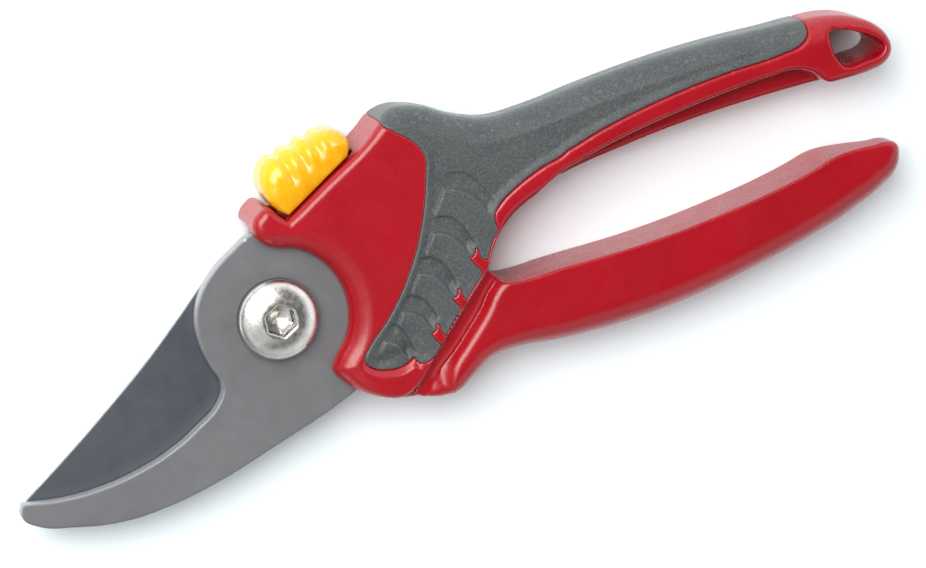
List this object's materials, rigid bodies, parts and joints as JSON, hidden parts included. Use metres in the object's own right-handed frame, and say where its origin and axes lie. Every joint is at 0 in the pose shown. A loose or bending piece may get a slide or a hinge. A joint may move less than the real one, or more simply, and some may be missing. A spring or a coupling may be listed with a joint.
{
  "type": "bypass pruner",
  "caption": "Hand-held bypass pruner, closed and locked: hook plate and cutting blade on a domed pivot bolt, thumb slider lock, red handles, soft grey grip and hang hole.",
  "frame": {"origin": "on the pivot axis, at the flat end of the pivot nut, in the plane that the back of the tool rests on", "axes": "+X from the pivot towards the handle ends, +Y towards the thumb slider, +Z out of the face with the domed bolt head"},
  "size_m": [0.2122, 0.0692, 0.018],
  "materials": {
    "red_plastic": "satin red moulded plastic with a fine grain",
    "grey_rubber": "matt stippled grey soft plastic",
    "yellow_plastic": "glossy yellow plastic",
    "coated_hook_steel": "matt light grey non-stick coating",
    "coated_blade_steel": "satin dark slate non-stick coating",
    "zinc_plated_steel": "bright zinc plating",
    "spring_steel": "bare spring steel",
    "bush_brass": "machined brass"
  },
  "bodies": {
    "upper": {"upper_handle": "red_plastic", "soft_grip": "grey_rubber", "rear_cover": "red_plastic", "cover_screw_1": "zinc_plated_steel", "cover_screw_2": "zinc_plated_steel", "cover_screw_3": "zinc_plated_steel", "hook_plate": "coated_hook_steel", "hook_screw_1": "zinc_plated_steel", "hook_screw_2": "zinc_plated_steel", "pivot_bolt": "zinc_plated_steel", "pivot_nut": "zinc_plated_steel", "pivot_washer": "zinc_plated_steel", "detent_spring": "spring_steel", "return_spring": "spring_steel"},
    "lower": {"cutting_blade": "coated_blade_steel", "lower_handle": "red_plastic", "blade_screw_1": "zinc_plated_steel", "blade_screw_2": "zinc_plated_steel", "pivot_bush": "bush_brass"},
    "lock": {"lock_slider": "yellow_plastic", "lock_catch": "spring_steel", "lock_pin": "zinc_plated_steel"}
  },
  "joints": [
    {"name": "pivot", "type": "hinge", "parent": "upper", "child": "lower", "pos_m": [0, 0, 0.009], "axis": [0, 0, -1], "range_deg": [0, 33], "deforming": ["return_spring"]},
    {"name": "lock_slide", "type": "slide", "parent": "upper", "child": "lock", "axis": [0.9397, 0.342, 0], "range_m": [0, 0.0055]}
  ]
}
